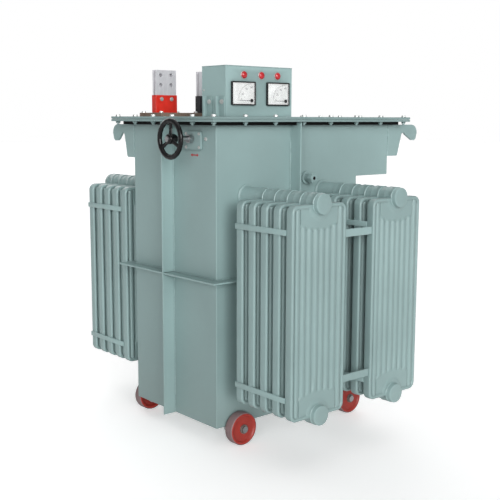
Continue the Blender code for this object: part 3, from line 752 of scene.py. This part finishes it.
def build_oil_stub_finish():
    refine("oil_stub", 0.0010, "paint", angle=55)
    low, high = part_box("oil_stub")
    y, z = (low.y + high.y) / 2, (low.z + high.z) / 2
    shape = bmesh.new()
    profile = [
        (0.0035, 0.022), (0.0078, 0.022), (0.0078, 0.0535), (0.0066, 0.0545), (0.0058, 0.0535),
        (0.0058, 0.024), (0.0035, 0.024), (0.0035, 0.022),
    ]
    lathe(shape, (low.x, y, z), "x", profile, 28)
    finish_mesh("oil_stub_liner", shape, "rubber")


# ---------------------------------------------------------------- handwheel

GRIP_HALF_W = 0.0112  # of the rim's section, across the wheel
GRIP_HALF_T = 0.0095
GRIP_WAVES = 18
GRIP_DEPTH = 0.05
SPOKES = 3
SPOKE_ROOT = 0.016
HANDWHEEL_HUB = [
    (0.0114, 0.0), (0.017, 0.0), (0.020, 0.003), (0.021, 0.008), (0.021, 0.028), (0.019, 0.034),
    (0.016, 0.039), (0.0114, 0.039), (0.0114, 0.0),
]


def handwheel_rim(shape, centre, ring):
    """The rim of the handwheel, an oval section with shallow finger waves."""
    steps, sides = 96, 20
    loops = []
    for i in range(steps):
        a = 2 * pi * i / steps
        grip = 1 - GRIP_DEPTH * (0.5 + 0.5 * cos(GRIP_WAVES * a))
        loop = []
        for j in range(sides):
            b = 2 * pi * j / sides
            r = ring + GRIP_HALF_W * grip * cos(b)
            place = centre + Vector((r * cos(a), GRIP_HALF_T * grip * sin(b), r * sin(a)))
            loop.append(shape.verts.new(place))
        loops.append(loop)
    for i in range(steps):
        after = loops[(i + 1) % steps]
        for j in range(sides):
            k = (j + 1) % sides
            shape.faces.new((loops[i][j], loops[i][k], after[k], after[j]))


def handwheel_spoke(shape, centre, ring, a):
    """A bowed spoke at angle a, thinner at its middle."""
    steps, sides = 8, 14
    rings = []
    for step in range(steps + 1):
        bow = sin(pi * step / steps)
        r = SPOKE_ROOT + (ring - SPOKE_ROOT) * step / steps
        around = []
        for j in range(sides):
            b = 2 * pi * j / sides
            over = (0.0118 - 0.0040 * bow) * cos(b)
            deep = 0.004 * bow + 0.0052 * sin(b)
            turned = Vector((r * cos(a) - over * sin(a), deep, r * sin(a) + over * cos(a)))
            around.append(shape.verts.new(centre + turned))
        rings.append(around)
    close_tube(shape, rings)


def build_handwheel():
    low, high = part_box("handwheel")
    centre = Vector(((low.x + high.x) / 2, low.y + 0.012, (low.z + high.z) / 2))
    ring = (high.x - low.x) / 2 - GRIP_HALF_W
    shape = bmesh.new()
    handwheel_rim(shape, centre, ring)
    lathe(shape, (centre.x, low.y, centre.z), "y", HANDWHEEL_HUB, 40)
    for i in range(SPOKES):
        handwheel_spoke(shape, centre, ring, pi / 2 + 2 * pi * i / SPOKES)
    wheel = finish_mesh("handwheel_finished", shape, "black", "handwheel", 50)
    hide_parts("handwheel")
    shape = bmesh.new()
    hexagon_bolt(shape, (centre.x, low.y - 0.0003, centre.z), "-y", 0.012, 0.0055, 0.0085)
    finish_mesh("handwheel_nut", shape, "steel", "handwheel")


def build_gland():
    refine("gland_plate", 0.0014, "paint", segments=3, angle=60)
    refine("gland_nut", 0.0010, "steel", angle=50)
    low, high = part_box("gland_plate")
    shape = bmesh.new()
    inset = 0.010
    for x in (low.x + inset, high.x - inset):
        for z in (low.z + inset, high.z - inset):
            hexagon_bolt(shape, (x, low.y, z), "-y", 0.010, 0.0045, 0.0065)
    beside = (high.x + 0.022, FRONT_Y, (low.z + high.z) / 2 + 0.007)
    hexagon_bolt(shape, beside, "-y", 0.011, 0.006, 0.008)
    finish_mesh("gland_bolts", shape, "plated")
    build_turn_arrow((low.x + high.x) / 2, low.z - 0.022)


def build_turn_arrow(x, z):
    """A painted double-headed arrow under the gland: turn either way."""
    shape = bmesh.new()
    tip, neck, barb, shaft = 0.026, 0.015, 0.007, 0.0024
    outline = [
        (-tip, 0), (-neck, barb), (-neck, shaft), (neck, shaft), (neck, barb),
        (tip, 0), (neck, -barb), (neck, -shaft), (-neck, -shaft), (-neck, -barb),
    ]
    face = shape.faces.new([shape.verts.new((x + a, FRONT_Y, z + b)) for a, b in outline])
    made = bmesh.ops.extrude_face_region(shape, geom=[face])
    moved = [v for v in made["geom"] if isinstance(v, bmesh.types.BMVert)]
    bmesh.ops.translate(shape, verts=moved, vec=(0, -0.0004, 0))
    finish_mesh("turn_arrow", shape, "mark")


# ---------------------------------------------------------------- running wheels

# Lathe profiles of a running wheel: radius, and distance from the wheel's inner end
WHEEL_DISC = [
    (0.0196, 0.0), (0.021, 0.0), (0.0225, 0.002), (0.025, 0.0155), (0.050, 0.0160), (0.0550, 0.012),
    (0.0565, 0.0045), (0.0585, 0.0035), (0.0635, 0.0035), (0.0650, 0.0050), (0.0650, 0.0455),
    (0.0635, 0.0478), (0.0590, 0.0478), (0.0565, 0.0466), (0.0535, 0.0424), (0.0505, 0.0412),
    (0.0300, 0.0412), (0.0225, 0.0425), (0.0196, 0.0430), (0.0196, 0.0),
]
WHEEL_HUB = [
    (0.0112, 0.0), (0.0194, 0.0), (0.0194, 0.0490), (0.0186, 0.0505), (0.0150, 0.0508),
    (0.0142, 0.0500), (0.0112, 0.0500), (0.0112, 0.0),
]


def wheel_tread(radius):
    return [
        (0.0652, 0.0046), (radius - 0.003, 0.0042), (radius - 0.0008, 0.0060), (radius, 0.0090),
        (radius, 0.0420), (radius - 0.0008, 0.0448), (radius - 0.0025, 0.0464), (0.0652, 0.0462),
        (0.0652, 0.0046),
    ]


def build_running_wheel(place):
    """Disc, tread and hub of one wheel, and the head on its axle."""
    node = f"wheel_{place}"
    low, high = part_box(node)
    y, z = (low.y + high.y) / 2, (low.z + high.z) / 2
    side = 1 if "right" in place else -1
    axis = "x" if side > 0 else "-x"
    start = (low.x if side > 0 else high.x, y, z)
    shape = bmesh.new()
    lathe(shape, start, axis, WHEEL_DISC, 64)
    wheel = finish_mesh(f"{node}_disc", shape, "red", node, 32)
    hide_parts(node)
    shape = bmesh.new()
    lathe(shape, start, axis, wheel_tread((high.z - low.z) / 2), 72)
    finish_mesh(f"{node}_tread", shape, "tread", node, 40)
    shape = bmesh.new()
    lathe(shape, start, axis, WHEEL_HUB, 40)
    finish_mesh(f"{node}_hub", shape, "hub", node)
    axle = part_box(f"axle_{place}")
    tip = axle[1].x if side > 0 else axle[0].x
    shape = bmesh.new()
    hexagon_bolt(shape, (tip - side * 0.0052, y, z), axis, 0.022, 0.0051, 0.0125)
    finish_mesh(f"axle_{place}_head", shape, "steel")


# ---------------------------------------------------------------- control box

def build_control_box():
    refine("control_box", 0.0016, "paint", segments=3, angle=60)
    refine("control_box_cover", 0.0010, "paint")
    for node in ("box_cleat_1", "box_cleat_2"):
        refine(node, 0.0008, "paint")
    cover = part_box("control_box_cover")
    screws = bmesh.new()
    for x in (cover[0].x + 0.012, cover[1].x - 0.012):
        for y in (cover[0].y + 0.014, (cover[0].y + cover[1].y) / 2, cover[1].y - 0.014):
            pan_screw(screws, (x, y, cover[1].z - 0.0032), "z")
    finish_mesh("cover_screws", screws, "plated")
    bolts = bmesh.new()
    for node in ("box_cleat_1", "box_cleat_2"):
        low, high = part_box(node)
        hexagon_bolt(bolts, (low.x + 0.021, high.y - 0.004, low.z + 0.058), "-y", 0.015, 0.006, 0.010)
    pan_screw(bolts, (BOX[0].x + 0.012, BOX[0].y, BOX[0].z + 0.105), "-y", 0.004)
    finish_mesh("cleat_bolts", bolts, "plated")


def pan_screw(shape, centre, axis, radius=0.0042):
    """A domed screw head."""
    height = radius * 0.62
    dome = [(radius * cos(a), height * (0.35 + 0.65 * sin(a))) for a in [pi / 2 * i / 6 for i in range(7)]]
    dome[-1] = (0, height)
    lathe(shape, centre, axis, [(0, 0), (radius, 0)] + dome, 20)


def dial_text(name, words, size, place):
    """A number printed on a meter's dial."""
    made = bpy.data.curves.new(name, "FONT")
    made.body = words
    made.size = size
    made.extrude = 0.00012
    made.align_x = "CENTER"
    made.align_y = "CENTER"
    made.materials.append(M["ink"])
    text = bpy.data.objects.new(name, made)
    bpy.context.collection.objects.link(text)
    text.matrix_world = Matrix.Translation(place) @ AXES["x"]
    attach(text, "tank")


DIAL_DEPTH = 0.0070  # of the dial behind the case's face
DIAL_T = 0.0007
SCALE_R = 0.0665
SCALE_STEPS = 30
SCALE_NUMBERS = ("0", "20", "40", "60")
NUMBER_R = SCALE_R - 0.014
NUMBER_SIZE = 0.0120
POINTER_HUB_R = 0.006
ZERO_KNOB = [(0, 0), (0.0072, 0), (0.0072, 0.0005), (0.0066, 0.0008), (0, 0.0008)]


def scale_mark(shape, top, y, z, i):
    """A line of the scale. Every fifth is long."""
    angle = radians(90 * i / SCALE_STEPS)
    inner = SCALE_R - (0.0065 if i % 5 == 0 else 0.0035)
    along = Vector((-cos(angle), sin(angle)))
    across = Vector((-along.y, along.x)) * 0.00035
    corners = [
        along * inner - across, along * inner + across,
        along * SCALE_R + across, along * SCALE_R - across,
    ]
    shape.faces.new([shape.verts.new((top, y + c.x, z + c.y)) for c in corners])


def scale_arc(shape, top, y, z, i):
    """A length of the arc along the scale's outer edge."""
    outer = SCALE_R + 0.0008
    corners = []
    for r, step in ((SCALE_R, i), (SCALE_R, i + 1), (outer, i + 1), (outer, i)):
        angle = radians(90 * step / SCALE_STEPS)
        corners.append((top, y - r * cos(angle), z + r * sin(angle)))
    shape.faces.new([shape.verts.new(c) for c in corners])


def build_meter(number):
    """Case, dial, scale, numbers and zero knob of one panel meter."""
    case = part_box(f"meter_case_{number}")
    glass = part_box(f"meter_glass_{number}")
    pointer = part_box(f"meter_pointer_{number}")
    refine(f"meter_case_{number}", 0.0012, "meter", segments=3, angle=60)
    repaint(f"meter_glass_{number}", "glass")
    repaint(f"meter_pointer_{number}", "ink")
    face = case[1].x - DIAL_DEPTH
    top = face + DIAL_T
    y = pointer[1].y - POINTER_HUB_R
    z = (pointer[0].z + pointer[1].z) / 2
    shape = bmesh.new()
    low = (face, glass[0].y + 0.0001, glass[0].z + 0.0001)
    high = (top, glass[1].y - 0.0001, glass[1].z - 0.0001)
    rounded_box(shape, low, high, 0.0003)
    finish_mesh(f"meter_dial_{number}", shape, "dial")
    marks = bmesh.new()
    for i in range(SCALE_STEPS + 1):
        scale_mark(marks, top, y, z, i)
    for i in range(SCALE_STEPS):
        scale_arc(marks, top, y, z, i)
    bmesh.ops.solidify(marks, geom=marks.faces[:], thickness=0.0002)
    finish_mesh(f"meter_scale_{number}", marks, "ink")
    for i, value in enumerate(SCALE_NUMBERS):
        angle = radians(90 * i / (len(SCALE_NUMBERS) - 1))
        lift = 0.003 if i == 0 else 0
        place = (top, y - NUMBER_R * cos(angle) + 0.002, z + NUMBER_R * sin(angle) + lift)
        dial_text(f"meter_{number}_number_{i}", value, NUMBER_SIZE, place)
    knob = bmesh.new()
    lathe(knob, (case[1].x - 0.0009, y, z), "x", ZERO_KNOB, 32)
    finish_mesh(f"meter_zero_{number}", knob, "meter")


LAMP_DEPTH = 0.012


def build_lamp(number):
    """A domed lens in a plated bezel."""
    low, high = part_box(f"lamp_{number}")
    y, z = (low.y + high.y) / 2, (low.z + high.z) / 2
    face = high.x - LAMP_DEPTH
    shape = bmesh.new()
    rim = (high.z - low.z) / 2
    dome = rim - 0.0022
    bezel = [
        (dome - 0.0006, 0.0), (rim, 0.0), (rim, 0.0020), (rim - 0.0005, 0.0030),
        (rim - 0.0014, 0.0034), (dome - 0.0003, 0.0028), (dome - 0.0006, 0.0),
    ]
    lathe(shape, (face, y, z), "x", bezel, 36)
    finish_mesh(f"lamp_bezel_{number}", shape, "bezel")
    lens = [(0, 0.001), (dome - 0.0004, 0.001), (dome, 0.0048)]
    lens += [(dome * cos(a), 0.0048 + 0.0070 * sin(a)) for a in [pi / 2 * i / 8 for i in range(1, 8)]]
    lens.append((0, 0.0118))
    shape = bmesh.new()
    lathe(shape, (face, y, z), "x", lens, 32)
    lamp = finish_mesh(f"lamp_lens_{number}", shape, "lamp")
    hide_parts(f"lamp_{number}")


# ---------------------------------------------------------------- terminals

def build_terminals():
    refine("terminal_board", 0.0012, "board")
    bolts = bmesh.new()
    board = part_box("terminal_board")
    for y in (board[0].y + 0.011, (board[0].y + board[1].y) / 2, board[1].y - 0.011):
        for x in (board[0].x + 0.016, board[1].x - 0.016):
            hexagon_bolt(bolts, (x, y, board[1].z), "z", 0.014, 0.007, 0.010)
    for colour in ("red", "black"):
        refine(f"busbar_{colour}", 0.0007, "bus", angle=50)
        refine(f"sleeve_{colour}", 0.0022, f"{colour}_sleeve", segments=3, angle=60)
        low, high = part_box(f"sleeve_{colour}")
        width = high.y - low.y
        for share in (0.27, 0.73):
            place = (high.x, low.y + width * share, high.z - 0.017)
            hexagon_bolt(bolts, place, "x", 0.013, 0.006, 0.009)
    finish_mesh("terminal_bolts", bolts, "plated")


def repaint(node, finish):
    """Gives a CAD node that keeps its shape a better material."""
    mesh = NODES[node].data
    mesh.materials.clear()
    mesh.materials.append(M[finish])


def paint_kept_nodes():
    finishes = {
        "rim_gasket": "paint", "handwheel_shaft": "steel", "drive_sprocket": "steel",
        "driven_sprocket": "steel", "drive_chain": "steel", "brush_shaft": "steel",
        "brush_arm_1": "insulator", "brush_arm_2": "insulator", "brush_arm_3": "insulator",
        "variac_coil_1": "copper", "variac_coil_2": "copper", "variac_coil_3": "copper",
        "transformer_core": "iron", "transformer_winding": "copper",
        "axle_right_front": "steel", "axle_right_back": "steel",
        "axle_left_front": "steel", "axle_left_back": "steel",
    }
    for node, finish in finishes.items():
        repaint(node, finish)


# ---------------------------------------------------------------- stage

def far_light(name, azimuth, elevation, strength, spread):
    """A distant soft light. Azimuth is from +X, and spread is its apparent width, in degrees."""
    data = bpy.data.lights.new(name, "SUN")
    data.energy = strength
    data.angle = radians(spread)
    light = bpy.data.objects.new(name, data)
    a, e = radians(azimuth), radians(elevation)
    towards = Vector((cos(a) * cos(e), sin(a) * cos(e), sin(e)))
    light.location = towards * 6
    light.rotation_euler = towards.to_track_quat("Z", "Y").to_euler()
    bpy.context.collection.objects.link(light)


SKY_LIGHT = 0.08  # as a lamp
SKY_SHINE = 0.35  # in reflections
FLOOR_GLOW = 0.06  # as a lamp
FLOOR_WHITE = 0.42  # as seen
FLOOR_HALF = 40.0


def build_stage():
    """A pale floor, the sky and the studio's lamps."""
    mesh = bpy.data.meshes.new("floor")
    corners = [
        (-FLOOR_HALF, -FLOOR_HALF, 0), (FLOOR_HALF, -FLOOR_HALF, 0),
        (FLOOR_HALF, FLOOR_HALF, 0), (-FLOOR_HALF, FLOOR_HALF, 0),
    ]
    mesh.from_pydata(corners, [], [(0, 1, 2, 3)])
    made, tree, shader, place = node_material("studio_floor", 0.7)
    patches = noise_node(tree, place, 0.6, 2.0)
    tone = ramp(tree, patches, [(0.3, (0.88, 0.88, 0.88)), (0.7, (0.91, 0.91, 0.91))])
    tree.links.new(tone, shader.inputs["Base Color"])
    shader.inputs["Emission Color"].default_value = (1, 1, 1, 1)
    ray = tree.nodes.new("ShaderNodeLightPath")
    glow = map_range(tree, ray.outputs["Is Camera Ray"], 0.0, 1.0, FLOOR_GLOW, FLOOR_WHITE)
    tree.links.new(glow, shader.inputs["Emission Strength"])
    mesh.materials.append(made)
    floor = bpy.data.objects.new("floor", mesh)
    floor.location.z = -0.0005
    bpy.context.collection.objects.link(floor)
    build_world()
    far_light("front", -20, 14, 1.85, 30)
    far_light("side", -52, 15, 1.20, 30)
    far_light("back", 158, 32, 1.10, 60)
    far_light("overhead", 0, 88, 0.65, 60)


def build_world():
    """White behind the object, and a softer white sky that lights it."""
    world = bpy.data.worlds.new("studio")
    world.use_nodes = True
    tree = world.node_tree
    background = tree.nodes["Background"]
    background.inputs["Color"].default_value = (1, 1, 1, 1)
    ray = tree.nodes.new("ShaderNodeLightPath")
    lit = map_range(tree, ray.outputs["Is Glossy Ray"], 0.0, 1.0, SKY_LIGHT, SKY_SHINE)
    strength = calculate(tree, "MAXIMUM", lit, ray.outputs["Is Camera Ray"])
    tree.links.new(strength, background.inputs["Strength"])
    bpy.context.scene.world = world
    bpy.context.scene.view_settings.view_transform = "Standard"


def build_camera():
    data = bpy.data.cameras.new("camera")
    data.lens = LENS_MM
    data.sensor_fit = "HORIZONTAL"
    data.sensor_width = SENSOR_MM
    heading = Vector((-sin(CAMERA_YAW), cos(CAMERA_YAW), 0))
    right = Vector((cos(CAMERA_YAW), sin(CAMERA_YAW), 0))
    up = Vector((0, 0, 1))
    forward = heading * cos(CAMERA_PITCH) - up * sin(CAMERA_PITCH)
    above = heading * sin(CAMERA_PITCH) + up * cos(CAMERA_PITCH)
    across = right * cos(CAMERA_ROLL) + above * sin(CAMERA_ROLL)
    above = above * cos(CAMERA_ROLL) - right * sin(CAMERA_ROLL)
    camera = bpy.data.objects.new("camera", data)
    turn = Matrix((across, above, -forward)).transposed().to_4x4()
    camera.matrix_world = Matrix.Translation(CAMERA_AT) @ turn
    bpy.context.collection.objects.link(camera)
    bpy.context.scene.camera = camera


def clear_startup_scene():
    """Removes the objects of Blender's factory scene, where it was loaded."""
    for name in ("Cube", "Light", "Camera"):
        if name in bpy.data.objects:
            bpy.data.objects.remove(bpy.data.objects[name], do_unlink=True)


def main():
    build_camera()
    build_stage()
    build_tank_finish()
    build_tank_welds()
    build_lid_bolts()
    build_oil_stub_finish()
    for side, place in ((1, "right"), (-1, "left")):
        for end in ("front", "back"):
            build_radiator(f"radiator_{place}_{end}", side)
            build_running_wheel(f"{place}_{end}")
    build_handwheel()
    build_gland()
    build_control_box()
    for number in (1, 2):
        build_meter(number)
    for number in (1, 2, 3):
        build_lamp(number)
    build_terminals()
    paint_kept_nodes()
    clear_startup_scene()


main()
